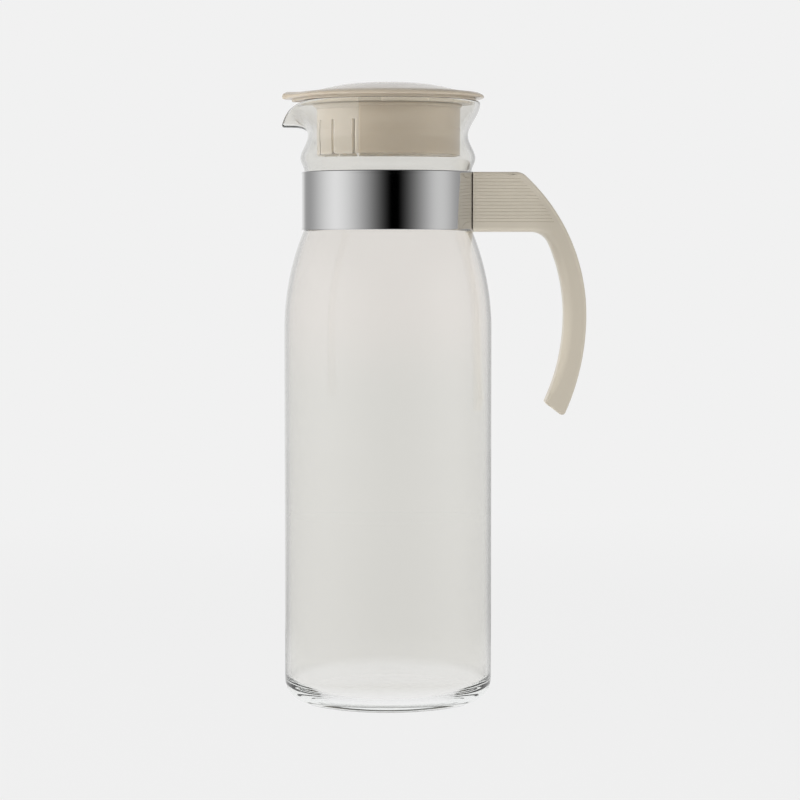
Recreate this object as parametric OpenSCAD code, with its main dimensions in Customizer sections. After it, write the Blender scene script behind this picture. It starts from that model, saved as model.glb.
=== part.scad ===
// Glass pitcher with lid
// Origin: centre of the base on the table. +Z is up, +X is the handle side,
// -X is the side of the pouring lip. Millimetres.

/* [Glass] */
// Outer radius of the glass body
body_r = 49; // [47:0.5:51]
// Wall thickness of the glass
wall = 2.2; // [1.8:0.1:2.4]
// Thickness of the glass floor
floor_t = 5; // [3:0.5:7]
// Radius of the rounded corner round the base
corner_r = 10.6; // [8:0.2:12]
// Height of the straight body, from the base up to the shoulder
body_h = 176; // [150:1:200]
// Height of the shoulder, from the body up to the strap
shoulder_h = 47; // [36:1:56]
// Outer radius of the straight neck under the strap
neck_r = 39.4; // [37:0.1:41]
// How far the bulge above the strap stands out from the neck
bulge_out = 1.8; // [1:0.1:2.6]
// How far the waist above the bulge draws in from the neck
waist_in = 1.7; // [0.8:0.1:2.2]
// Height from the strap up to the waist
bulge_h = 17.3; // [14:0.1:20]
// How far the rim flares out from the waist
rim_flare = 5.7; // [5:0.1:7]
// Height from the waist up to the rim
mouth_h = 15.8; // [14:0.1:18]

/* [Pouring lip] */
// How far the tip of the lip stands out beyond the rim
lip_out = 6.5; // [5:0.1:8]
// Height of the underside of the tip above the waist
lip_rise = 3.6; // [3:0.1:6]
// Angle over which the lip widens to either side
lip_spread_deg = 8.5; // [8:0.5:10]
// Angle over which the bottom of the lip is rounded
lip_round_deg = 7; // [6.5:0.5:9]

/* [Neck strap] */
// Height of the strap
band_h = 27.2; // [25:0.2:30]
// Thickness of the strap's steel
band_t = 0.6; // [0.5:0.1:0.8]
// Thickness of the clear strip under the strap
cushion_t = 0.5; // [0.4:0.1:0.7]
// Width of the slot between the strap's turned-out ends
band_gap = 6.8; // [6:0.2:7.4]
// How far the turned-out ends stand out from the strap
flange_l = 15.5; // [14:0.5:16.5]
// Height of the turned-out ends
flange_h = 18; // [15:0.5:20]

/* [Handle] */
// Height of the handle, from the top of its block to the end of its arm
handle_h = 115; // [105:0.5:122]
// Thickness of each cheek beside the strap's turned-out ends
cheek_t = 5.1; // [4.8:0.1:6.6]
// Distance from the strap to the outermost point of the arm
arm_out = 52.7; // [50:0.1:58]
// Height from that point up to the top of the block
arm_drop = 67.2; // [62:0.2:70]
// Thickness of the arm at that point
arm_t = 10.4; // [10:0.1:12.5]
// Radius of the arm's outer curve above that point
arm_upper_r = 89; // [86:0.5:94]
// Radius of the arm's outer curve below that point
arm_lower_r = 112; // [105:1:125]
// Radius of the arm's inner curve above that point
grip_upper_r = 84; // [81:0.5:88]
// Radius of the arm's inner curve below that point
grip_lower_r = 100; // [92:1:110]
// Height of the block behind the strap
block_h = 28; // [26:0.2:30]
// Radius of the block's upper outer corner
block_corner_r = 7; // [4:0.5:10]
// Radius of the hollow between the block and the arm
block_hollow_r = 9; // [6:0.5:11]
// Spacing of the grooves in the cheeks
groove_pitch = 1.55; // [1.4:0.05:2]
// Depth of the grooves
groove_d = 0.4; // [0.2:0.05:0.5]
// Smooth margin between the grooves and the outline
groove_margin = 3.8; // [3:0.1:5]

/* [Screw] */
// Radius of the screw's shank
screw_r = 2; // [1.6:0.1:2.2]
// Radius of the screw's head
head_r = 3.7; // [3.2:0.1:4]
// Height of the screw's head
head_h = 2.4; // [2:0.1:2.6]
// Width of the nut across its flats
nut_w = 7; // [6:0.1:7.6]
// Thickness of the nut
nut_t = 3.2; // [2.6:0.1:3.2]

/* [Lid] */
// How far the brim stands out beyond the rim
brim_out = 1.9; // [0.8:0.1:3]
// Thickness of the brim at its edge
brim_t = 2.8; // [2.4:0.1:3.2]
// Height of the crown over the brim's underside
crown_h = 8.5; // [8.3:0.1:10]
// Radius of the raised crown
crown_r = 24; // [22:0.5:26]
// Thickness of the cover's shell
cover_t = 2; // [1.6:0.1:2.2]
// How far the tip of the tab stands out beyond the brim
tab_out = 4.5; // [3:0.1:7]
// Radius of the tab's rounded tip
tab_tip_r = 8; // [6:0.5:10]
// Width of the tab where it rises out of the cover
tab_root_w = 36; // [30:1:40]
// Thickness of the tab
tab_t = 3; // [2.4:0.1:3.2]
// Gap between the plug and the waist of the glass
plug_gap = 1.5; // [1.2:0.1:3]
// Wall thickness of the plug
plug_wall = 2; // [1.6:0.1:2.4]
// How far the plug hangs down below the brim
plug_h = 25.6; // [20:0.2:32]
// Width of the slots of the strainer
slot_w = 1.7; // [1.2:0.1:2.4]
// How far below the brim the slots end
slot_top_margin = 9.1; // [8:0.1:14]
// Angle between two slots
slot_pitch_deg = 21; // [16:1:24]
// How far the strainer's wall is set back
comb_setback = 0.6; // [0.3:0.1:0.8]
// Thickness of the soft ring
gasket_t = 1.6; // [1.2:0.1:1.8]

/* [Hidden] */
$fn = 96;

// One overrun for every cut
over = 1;
// Gap between pieces that lie on each other without touching
seat_gap = 0.3;
// Gap between thin pieces that are clamped on each other
clamp_gap = 0.05;
// Gap round the plug's socket in the cover
socket_gap = 0.1;

// Counts of steps along the curves
corner_steps = 8;
shoulder_steps = 10;
bulge_steps = 7;
arm_steps = 12;
rim_steps = 4;
mouth_rows = 11;
mouth_columns = 60;

// Glass: the shoulder is one arc that leaves the body upright and ends just behind the strap
band_z = body_h + shoulder_h;
band_top = band_z + band_h;
neck_hide_share = 0.02;
neck_z = band_z + neck_hide_share * band_h;
shoulder_in = body_r - neck_r;
shoulder_up = neck_z - body_h;
shoulder_arc = (shoulder_in * shoulder_in + shoulder_up * shoulder_up) / (2 * shoulder_in);
shoulder_deg = asin(shoulder_up / shoulder_arc);
bulge_r = neck_r + bulge_out;
bulge_share = 0.37;
bulge_z = band_top + bulge_share * bulge_h;
waist_r = neck_r - waist_in;
waist_z = band_top + bulge_h;
rim_r = waist_r + rim_flare;
rim_top = waist_z + mouth_h;
rim_z = rim_top - wall / 2;

// Pouring lip: the powers bend its flanks and the flare of the mouth
lip_tip_r = rim_r + lip_out - wall / 2;
lip_tip_drop = rim_z - waist_z - lip_rise;
lip_side_power = 0.6;
flare_power = 0.93;
// The columns crowd together at the lip by this share
crowding_share = 0.6;
// The mouth's first ring is sunk this far into the glass below it
ring_step = 0.15;
// Step of the angle and of the row share in which slopes are measured
slope_deg = 0.2;
slope_share = 0.01;

// Strap
cushion_r = neck_r + clamp_gap;
band_in_r = cushion_r + cushion_t + clamp_gap;
band_r = band_in_r + band_t;
cushion_inset_share = 0.03;
flange_end = band_r + flange_l;

// Handle: the block lies level with the strap's upper edge, and its hollow face follows the strap
block_top = band_top;
block_z = block_top - block_h;
handle_gap = 0.6;
block_face_r = band_r + handle_gap;
pocket_gap = 0.4;
pocket_w = band_gap + 2 * band_t + 2 * pocket_gap;
pocket_h = flange_h + 2 * pocket_gap;
pocket_end = flange_end + pocket_gap;
handle_w = pocket_w + 2 * cheek_t;
flange_mid_z = band_z + band_h / 2;
arm_reach = band_r + arm_out;
arm_z = block_top - arm_drop;
arm_upper_c = [arm_reach - arm_upper_r, arm_z];
arm_lower_c = [arm_reach - arm_lower_r, arm_z];
grip_reach = arm_reach - arm_t;
grip_upper_c = [grip_reach - grip_upper_r, arm_z];
grip_lower_c = [grip_reach - grip_lower_r, arm_z];
// The arm's end is cut at a slant: its inner corner lies higher by this share of the arm's thickness
arm_end_rise_share = 0.62;
arm_end_round_share = 0.17;
// Angle by which the arm's lower arcs stop short of their neighbours
join_deg = 1;

// Screw: it lies across the block, half way along the turned-out ends, with a crossed slot in its head
screw_x = band_r + flange_l / 2;
screw_gap = 0.2;
thread_gap = 0.05;
head_sink = head_h + screw_gap;
head_seat_y = handle_w / 2 - head_sink;
nut_seat_y = pocket_w / 2;
drive_l_share = 1.1;
drive_w_share = 0.3;
drive_d_share = 0.6;

// Cover: a flat crown, a step where it meets the sloping brim, and the brim's rounded edge
brim_r = rim_r + brim_out;
brim_z = rim_top + seat_gap;
crown_z = brim_z + crown_h;
crown_edge_z_share = 0.8;
crown_edge_z = brim_z + crown_edge_z_share * crown_h;
step_r_share = 0.71;
step_r = step_r_share * brim_r;
step_z_share = 0.57;
step_z = brim_z + step_z_share * crown_h;
brim_round_share = 0.45;
crown_steps = 6;

// Plug: it snaps on to a spigot under the cover, and a bead holds the soft ring
plug_r = waist_r - wall - plug_gap;
plug_z = brim_z - plug_h;
socket_depth = 2.4;
spigot_t = 2;
spigot_h = 4;
snap_d = 0.35;
spigot_r = plug_r - plug_wall - socket_gap;
spigot_in_r = spigot_r - spigot_t;
slot_h = plug_h - slot_top_margin;
slot_count = 7;
comb_margin_deg = 4;
comb_deg = (slot_count - 1) / 2 * slot_pitch_deg + comb_margin_deg;
bead_d = 0.9;
bead_h = 0.8;

// Tab: its straight sides run from the crown's step to its rounded tip
tab_tip_c = [tab_tip_r - brim_r - tab_out, 0];
tab_root = [-leg(step_r, tab_root_w / 2), tab_root_w / 2];
tab_root_from_tip = tab_root - tab_tip_c;
tab_side_deg = atan2(tab_root_from_tip[1], tab_root_from_tip[0]) + acos(tab_tip_r / norm(tab_root_from_tip));
tab_lift_share = 0.43;
tab_sink = 0.15;

// Soft ring: it fills the mouth between the plug and the glass
gasket_z = brim_z - seat_gap - gasket_t;
gasket_in_r = plug_r + seat_gap;
gasket_side_gap = 0.5;
gasket_r = rim_r - wall - gasket_side_gap;

// The strainer's wall is set back up to just below the bead
comb_z = gasket_z - seat_gap - 3 * bead_h;

// Points along an arc
function arc(centre, r, from, to, steps) =
    [for (i = [0:steps]) centre + r * [cos(from + (to - from) * i / steps), sin(from + (to - from) * i / steps)]];

// Side of a right triangle whose longest side is r
function leg(r, other) = sqrt(r * r - other * other);

// A soft step from 0 to 1
function ease(t) = (1 - cos(180 * t)) / 2;

// Glass profile above the strap, up to the waist, for a wall moved inwards by inset
function bulge_curve(inset) = concat(
    [for (i = [0:bulge_steps])
        [neck_r + bulge_out * ease(i / bulge_steps) - inset,
         band_top + (bulge_z - band_top) * i / bulge_steps]],
    [for (i = [1:bulge_steps])
        [bulge_r + (waist_r - bulge_r) * ease(i / bulge_steps) - inset,
         bulge_z + (waist_z - bulge_z) * i / bulge_steps]]);

// Side of the body, shoulder and neck, for a wall moved inwards by inset
function body_curve(inset) = concat(
    arc([body_r - shoulder_arc, body_h], shoulder_arc - inset, 0, shoulder_deg, shoulder_steps),
    bulge_curve(inset));

function reversed(list) = [for (i = [len(list) - 1:-1:0]) list[i]];

glass_outside = concat(
    [[0, 0]],
    arc([body_r - corner_r, corner_r], corner_r, -90, 0, corner_steps),
    body_curve(0));
glass_inside = concat(
    [[0, floor_t]],
    arc([body_r - corner_r, floor_t + corner_r - wall], corner_r - wall, -90, 0, corner_steps),
    body_curve(wall));

// Mouth: how strongly the lip pulls at an angle from the lip's own direction, from 0 to 1
function lip_pull(phi) = exp((lip_round_deg - norm([phi, lip_round_deg])) / lip_spread_deg);

// Radius and height of the mouth's outside at share s of the way from the waist to the rim
function mouth_radius(phi, s, pull) =
    waist_r + (rim_r + (lip_tip_r - rim_r) * pow(pull, lip_side_power) - waist_r)
    * ((1 - pull) * ease(pow(s, flare_power)) + pull * s * s);
function mouth_height(phi, s, pull) =
    waist_z + (rim_z - lip_tip_drop * pull - waist_z) * ((1 - pull) * s + pull * (1 - pow(1 - s, 3)));
function mouth_point(phi, s) =
    let (pull = lip_pull(phi), r = mouth_radius(phi, s, pull))
    [-r * cos(phi), -r * sin(phi), mouth_height(phi, s, pull)];

function unit(v) = v / norm(v);
function mouth_along(phi, s) =
    unit(mouth_point(phi, min(s + slope_share, 1)) - mouth_point(phi, max(s - slope_share, 0)));
function mouth_round(phi, s) =
    unit(mouth_point(phi + slope_deg, s) - mouth_point(phi - slope_deg, s));
function mouth_normal(phi, s) = unit(cross(mouth_round(phi, s), mouth_along(phi, s)));

// One closed ring of points through the wall: up the outside, over the rim and down the inside
function ring_foot(phi, r) = [-r * cos(phi), -r * sin(phi), waist_z - ring_step];
function wall_ring(phi) = let (
        rim_normal = mouth_normal(phi, 1),
        rim_along = mouth_along(phi, 1),
        rim_middle = mouth_point(phi, 1) - rim_normal * wall / 2)
    concat(
        [ring_foot(phi, waist_r - ring_step)],
        [for (k = [1:mouth_rows]) mouth_point(phi, k / mouth_rows)],
        [for (k = [1:rim_steps - 1])
            rim_middle + (cos(180 * k / rim_steps) * rim_normal + sin(180 * k / rim_steps) * rim_along) * wall / 2],
        [for (k = [mouth_rows:-1:1])
            mouth_point(phi, k / mouth_rows) - mouth_normal(phi, k / mouth_rows) * wall],
        [ring_foot(phi, waist_r - wall + ring_step)]);
ring_size = 2 * mouth_rows + rim_steps + 1;

// Columns lie closer together at the lip
function column_deg(i) = let (u = 360 * i / mouth_columns - 180) u - crowding_share * 180 / PI * sin(u);

module mouth() {
    points = [for (i = [0:mouth_columns - 1]) each wall_ring(column_deg(i))];
    faces = [for (i = [0:mouth_columns - 1], k = [0:ring_size - 1]) let (
            j = (i + 1) % mouth_columns,
            l = (k + 1) % ring_size,
            a = i * ring_size + k,
            b = j * ring_size + k,
            c = j * ring_size + l,
            d = i * ring_size + l)
        each [[a, c, b], [a, d, c]]];
    polyhedron(points, faces);
}

module glass_jug() {
    color([0.86, 0.9, 0.9, 0.35])
    union() {
        rotate_extrude()
            polygon(concat(glass_outside, reversed(glass_inside)));
        mouth();
    }
}

// A ring of thin strip round the neck, open at the handle
module open_ring(r_in, r_out, z, h, gap) {
    difference() {
        translate([0, 0, z])
            cylinder(r = r_out, h = h);
        translate([0, 0, z - over])
            cylinder(r = r_in, h = h + 2 * over);
        translate([0, -gap / 2, z - over])
            cube([r_out + over, gap, h + 2 * over]);
    }
}

module screw_hole(r) {
    translate([screw_x, handle_w, flange_mid_z])
        rotate([90, 0, 0])
            cylinder(r = r, h = 2 * handle_w);
}

module neck_band() {
    color("silver")
    difference() {
        union() {
            open_ring(band_in_r, band_r, band_z, band_h, band_gap);
            for (side = [-1, 1])
                translate([band_in_r, side * (band_gap + band_t) / 2 - band_t / 2, flange_mid_z - flange_h / 2])
                    cube([flange_end - band_in_r, band_t, flange_h]);
        }
        screw_hole(screw_r + screw_gap);
    }
}

module band_cushion() {
    color([0.9, 0.92, 0.92, 0.6])
    open_ring(cushion_r, cushion_r + cushion_t, band_z + cushion_inset_share * band_h,
        (1 - 2 * cushion_inset_share) * band_h, band_gap);
}

// Hollow between the block's underside and the arm
hollow_up = block_z - block_hollow_r - arm_z;
hollow_x = grip_upper_c[0] + leg(grip_upper_r - block_hollow_r, hollow_up);
hollow_deg = atan2(hollow_up, hollow_x - grip_upper_c[0]);

// Outer corner of the block
corner_up = block_top - block_corner_r - arm_z;
corner_x = arm_upper_c[0] + leg(arm_upper_r - block_corner_r, corner_up);
corner_deg = atan2(corner_up, corner_x - arm_upper_c[0]);

// Slanted end of the arm
end_outer_down = handle_h - arm_drop;
end_inner_down = end_outer_down - arm_end_rise_share * arm_t;
end_round = arm_end_round_share * arm_t;
end_outer_deg = -asin(end_outer_down / arm_lower_r);
end_inner_deg = -asin(end_inner_down / grip_lower_r);
function on_circle(c, r, a) = c + r * [cos(a), sin(a)];
end_outer = on_circle(arm_lower_c, arm_lower_r, end_outer_deg);
end_inner = on_circle(grip_lower_c, grip_lower_r, end_inner_deg);
end_slope_deg = atan2(end_outer[1] - end_inner[1], end_outer[0] - end_inner[0]);

// A convex corner p rounded off, where back and on are the directions of the outline's two sides
function rounded(p, back_deg, on_deg, r) =
    let (middle_deg = (back_deg + on_deg) / 2, half_deg = (back_deg - on_deg) / 2)
    arc(p + r / sin(half_deg) * [cos(middle_deg), sin(middle_deg)], r, back_deg + 90, on_deg + 270, rim_steps);

handle_outline = concat(
    [[band_in_r, block_top], [band_in_r, block_z]],
    reversed(arc([hollow_x, block_z - block_hollow_r], block_hollow_r, hollow_deg, 90, corner_steps)),
    reversed(arc(grip_upper_c, grip_upper_r, 0, hollow_deg, arm_steps)),
    arc(grip_lower_c, grip_lower_r, -join_deg, end_inner_deg + join_deg, arm_steps),
    rounded(end_inner, end_inner_deg + 90, end_slope_deg, end_round / 2),
    rounded(end_outer, 180 + end_slope_deg, end_outer_deg + 90, end_round),
    reversed(arc(arm_lower_c, arm_lower_r, -join_deg, end_outer_deg + 2 * join_deg, arm_steps)),
    arc(arm_upper_c, arm_upper_r, 0, corner_deg, arm_steps),
    arc([corner_x, block_top - block_corner_r], block_corner_r, corner_deg, 90, corner_steps));

// How far out the grooves reach at a height z
function groove_end(z) =
    let (up = max(z - arm_z, 0))
    min(arm_upper_c[0] + leg(arm_upper_r, up) - groove_margin,
        z > block_top - block_corner_r ? corner_x + (block_top - z) : arm_reach);
groove_count = floor((block_h - groove_margin) / groove_pitch);
groove_w = groove_d * sqrt(2);

// Square bars on edge cut the grooves into both cheeks
module grooves() {
    for (side = [-1, 1], i = [0:groove_count - 1]) {
        z = block_top - (i + 1) * groove_pitch;
        translate([block_face_r - over, side * handle_w / 2, z])
            rotate([45, 0, 0])
                cube([groove_end(z) - block_face_r + over, groove_w, groove_w]);
    }
}

module handle() {
    color([0.76, 0.73, 0.67])
    difference() {
        translate([0, handle_w / 2, 0])
            rotate([90, 0, 0])
                linear_extrude(handle_w)
                    polygon(handle_outline);
        translate([0, 0, block_z - over])
            cylinder(r = block_face_r, h = block_h + 2 * over);
        translate([band_in_r - over, -pocket_w / 2, flange_mid_z - pocket_h / 2])
            cube([pocket_end - band_in_r + over, pocket_w, pocket_h]);
        translate([screw_x, head_seat_y, flange_mid_z])
            rotate([-90, 0, 0])
                cylinder(r = head_r + screw_gap, h = head_sink + over);
        translate([screw_x, head_seat_y + over, flange_mid_z])
            rotate([90, 0, 0])
                cylinder(r = screw_r + screw_gap, h = head_seat_y + pocket_w / 2 + nut_t + screw_gap + over);
        translate([screw_x, over - nut_seat_y, flange_mid_z])
            rotate([90, 0, 0])
                cylinder(d = (nut_w + 2 * screw_gap) / cos(30), h = nut_t + screw_gap + over, $fn = 6);
        grooves();
    }
}

module band_screw() {
    drive_l = drive_l_share * head_r;
    drive_w = drive_w_share * head_r;
    drive_d = drive_d_share * head_h;
    color("lightgray")
    translate([screw_x, head_seat_y, flange_mid_z])
        rotate([-90, 0, 0])
            difference() {
                union() {
                    cylinder(r = head_r, h = head_h);
                    translate([0, 0, -head_seat_y - nut_seat_y - nut_t])
                        cylinder(r = screw_r, h = head_seat_y + nut_seat_y + nut_t + head_h / 2);
                }
                for (turn = [0, 90])
                    rotate([0, 0, turn])
                        translate([-drive_l / 2, -drive_w / 2, head_h - drive_d])
                            cube([drive_l, drive_w, drive_d + over]);
            }
}

module band_nut() {
    color("lightgray")
    translate([screw_x, -nut_seat_y, flange_mid_z])
        rotate([90, 0, 0])
            difference() {
                cylinder(d = nut_w / cos(30), h = nut_t, $fn = 6);
                translate([0, 0, -over])
                    cylinder(r = screw_r + thread_gap, h = nut_t + 2 * over);
            }
}

// Cover: heights of the outside from the crown to the brim's edge
brim_round = brim_round_share * brim_t;
cover_outside = concat(
    [for (i = [0:crown_steps])
        [crown_r * i / crown_steps, crown_z - (crown_z - crown_edge_z) * pow(i / crown_steps, 2)]],
    [for (i = [1:crown_steps])
        let (t = i / crown_steps)
        [crown_r + (step_r - crown_r) * t, crown_edge_z + (step_z - crown_edge_z) * ease(t)]],
    arc([brim_r - brim_round, brim_z + brim_t - brim_round], brim_round, 90, 0, rim_steps),
    arc([brim_r - brim_round, brim_z + brim_round], brim_round, 0, -90, rim_steps));

// The same outside moved down by the shell's thickness, from the spigot in to the axis
function shell_z(r) = lookup(r, [for (p = cover_outside) if (p[0] <= step_r) p]) - cover_t;
cover_inside = concat(
    [[spigot_in_r, shell_z(spigot_in_r)]],
    [for (p = reversed(cover_outside)) if (p[0] < spigot_in_r) [p[0], p[1] - cover_t]]);

module cover_round() {
    rotate_extrude()
        polygon(concat(
            cover_outside,
            [[plug_r + socket_gap, brim_z],
             [plug_r + socket_gap, brim_z + socket_depth],
             [spigot_r, brim_z + socket_depth],
             [spigot_r, brim_z - spigot_h / 2 + snap_d],
             [spigot_r + snap_d, brim_z - spigot_h / 2],
             [spigot_r, brim_z - spigot_h / 2 - snap_d],
             [spigot_r, brim_z - spigot_h],
             [spigot_in_r, brim_z - spigot_h]],
            cover_inside));
}

// Tab: a wedge with a round tip that runs out from under the brim, its top falling slightly outwards
module tab() {
    tab_z = brim_z + tab_lift_share * tab_t;
    intersection() {
        translate([0, 0, brim_z - over])
            linear_extrude(crown_h + 2 * over)
                polygon(concat(
                    [tab_root],
                    arc(tab_tip_c, tab_tip_r, tab_side_deg, 360 - tab_side_deg, corner_steps),
                    [[tab_root[0], -tab_root[1]]]));
        rotate_extrude()
            polygon([
                [plug_r + plug_wall, tab_z],
                [brim_r + tab_out + over, tab_z],
                [brim_r + tab_out + over, tab_z + tab_t],
                [step_r, step_z - tab_sink],
                [step_r, tab_z + tab_t],
                [plug_r + plug_wall, tab_z + tab_t]]);
    }
}

module lid_cover() {
    color([0.82, 0.79, 0.73])
    union() {
        cover_round();
        tab();
    }
}

module lid_plug() {
    plug_top = brim_z + socket_depth - socket_gap;
    plug_in_r = plug_r - plug_wall;
    color([0.8, 0.77, 0.71])
    difference() {
        rotate_extrude()
            polygon([
                [plug_in_r, plug_z],
                [plug_r, plug_z],
                [plug_r, gasket_z - seat_gap - 2 * bead_h],
                [plug_r + bead_d, gasket_z - seat_gap - bead_h],
                [plug_r + bead_d, gasket_z - seat_gap],
                [plug_r, gasket_z - seat_gap],
                [plug_r, plug_top],
                [plug_in_r, plug_top],
                [plug_in_r, brim_z - spigot_h / 2 + snap_d + socket_gap],
                [plug_in_r + snap_d, brim_z - spigot_h / 2],
                [plug_in_r, brim_z - spigot_h / 2 - snap_d - socket_gap]]);
        rotate([0, 0, 180 - comb_deg])
            rotate_extrude(angle = 2 * comb_deg)
                translate([plug_r - comb_setback, plug_z - over])
                    square([comb_setback + over, comb_z - plug_z + over]);
        for (i = [0:slot_count - 1])
            rotate([0, 0, 180 + (i - (slot_count - 1) / 2) * slot_pitch_deg])
                translate([plug_in_r - over, -slot_w / 2, plug_z - over])
                    cube([plug_wall + 2 * over, slot_w, slot_h + over]);
    }
}

module lid_gasket() {
    color([0.93, 0.94, 0.93, 0.7])
    difference() {
        translate([0, 0, gasket_z])
            cylinder(r = gasket_r, h = gasket_t);
        translate([0, 0, gasket_z - over])
            cylinder(r = gasket_in_r, h = gasket_t + 2 * over);
    }
}

glass_jug();
neck_band();
band_cushion();
handle();
band_screw();
band_nut();
lid_cover();
lid_plug();
lid_gasket();
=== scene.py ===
import math

import bmesh
import bpy
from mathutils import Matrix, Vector


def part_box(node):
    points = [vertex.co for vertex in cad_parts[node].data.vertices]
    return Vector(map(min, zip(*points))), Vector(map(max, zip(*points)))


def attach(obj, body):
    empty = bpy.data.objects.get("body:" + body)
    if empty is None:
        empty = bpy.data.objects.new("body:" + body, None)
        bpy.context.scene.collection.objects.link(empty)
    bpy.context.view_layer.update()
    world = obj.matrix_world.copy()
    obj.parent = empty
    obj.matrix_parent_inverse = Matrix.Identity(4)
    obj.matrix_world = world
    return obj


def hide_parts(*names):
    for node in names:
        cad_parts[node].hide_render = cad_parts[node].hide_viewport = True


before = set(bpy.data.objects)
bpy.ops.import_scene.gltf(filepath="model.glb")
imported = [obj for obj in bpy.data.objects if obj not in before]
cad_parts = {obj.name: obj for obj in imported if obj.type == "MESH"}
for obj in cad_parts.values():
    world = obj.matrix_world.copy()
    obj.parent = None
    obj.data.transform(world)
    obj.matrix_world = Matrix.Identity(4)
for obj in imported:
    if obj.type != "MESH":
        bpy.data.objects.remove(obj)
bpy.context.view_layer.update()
bpy.context.scene.view_settings.view_transform = "Standard"

# Light that is caught in the thick glass floor needs many turns to find its way out
GLASS_BOUNCES = 32
bpy.context.scene.cycles.max_bounces = GLASS_BOUNCES
bpy.context.scene.cycles.glossy_bounces = GLASS_BOUNCES
bpy.context.scene.cycles.transmission_bounces = GLASS_BOUNCES

# Lengths are in metres, and most are written in millimetres
MM = 0.001
# How far a cutter reaches past what it cuts, how near two vertices merge, how near two places count as
# the same, and the shortest step in an outline
OVER = MM
WELD = 0.002 * MM
SAME = 0.01 * MM
SHORTEST = 0.05 * MM

# Sizes that the frame gives
jug_low, jug_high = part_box("glass_jug")
strap_low, strap_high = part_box("neck_band")
handle_low, handle_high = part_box("handle")
cover_low, cover_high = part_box("lid_cover")
plug_low, plug_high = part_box("lid_plug")
ring_low, ring_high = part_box("lid_gasket")

body_r = jug_high.y
lip_reach = -jug_low.x
rim_top = jug_high.z
band_r = strap_high.y
band_z = strap_low.z
band_top = strap_high.z
flange_end = strap_high.x
handle_w = handle_high.y - handle_low.y
arm_reach = handle_high.x
brim_r = cover_high.x
tab_reach = -cover_low.x
crown_z = cover_high.z
plug_z = plug_low.z
plug_top = plug_high.z

# Glass
wall = 2.2 * MM
floor_t = 5 * MM
corner_r = 10.6 * MM
body_h = 176 * MM
neck_r = 39.4 * MM
bulge_r = 41.2 * MM
waist_r = 37.7 * MM
waist_z = 267.5 * MM
rim_r = 43.4 * MM
punt_r = 35 * MM
punt_h = 0.7 * MM
cove_in = floor_t - wall
cove_r = corner_r - wall
cove_top = corner_r + cove_in
neck_z = band_z + 0.02 * (band_top - band_z)
bulge_z = band_top + 0.37 * (waist_z - band_top)
rim_round = 0.96 * wall / 2
columns = 240
mouth_rows = 22

# Pouring lip
lip_tip_r = lip_reach - wall / 2
lip_rise = 3.6 * MM
lip_spread = math.radians(8.5)
lip_round = math.radians(7)
lip_side_power = 0.6
flare_power = 0.93
rim_z = rim_top - wall / 2
lip_tip_z = waist_z + lip_rise
# The share of the way up the mouth from which the rim's own direction is read
near_rim = 0.99


# Camera: the photograph's view, 800 by 800 pixels
FRAME_PX = 800
SENSOR = 36
FOCAL_PX = 2642.7
CAMERA_AWAY = 1250 * MM
CAMERA_UP = 213.65 * MM
CAMERA_RIGHT = 5.7 * MM
CAMERA_DOWN = math.radians(3.25)
CAMERA_NEAR = 50 * MM
CAMERA_FAR = 30


def fresh():
    """Nothing selected, and out of edit mode."""
    if bpy.context.mode != "OBJECT":
        bpy.ops.object.mode_set(mode="OBJECT")
    bpy.ops.object.select_all(action="DESELECT")


def make_camera():
    fresh()
    bpy.ops.object.camera_add(
        location=(CAMERA_RIGHT, -CAMERA_AWAY, CAMERA_UP),
        rotation=(math.pi / 2 - CAMERA_DOWN, 0, 0))
    camera = bpy.context.object
    camera.name = "camera"
    camera.data.sensor_width = SENSOR
    camera.data.lens = FOCAL_PX / FRAME_PX * SENSOR
    camera.data.clip_start = CAMERA_NEAR
    camera.data.clip_end = CAMERA_FAR
    bpy.context.scene.camera = camera


class Signal:
    """An output of a shader node. Arithmetic on it adds Math nodes."""

    def __init__(self, shader, output):
        self.shader = shader
        self.output = output

    def maths(self, operation, first, second):
        return self.shader.node("Math", {"operation": operation}, {0: first, 1: second})

    def __add__(self, other):
        return self.maths("ADD", self, other)

    def __radd__(self, other):
        return self.maths("ADD", other, self)

    def __sub__(self, other):
        return self.maths("SUBTRACT", self, other)

    def __rsub__(self, other):
        return self.maths("SUBTRACT", other, self)

    def __mul__(self, other):
        return self.maths("MULTIPLY", self, other)

    def __rmul__(self, other):
        return self.maths("MULTIPLY", other, self)

    def __lt__(self, other):
        return self.maths("LESS_THAN", self, other)

    def __gt__(self, other):
        return self.maths("GREATER_THAN", self, other)

    def __abs__(self):
        return self.maths("ABSOLUTE", self, 0)


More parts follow.
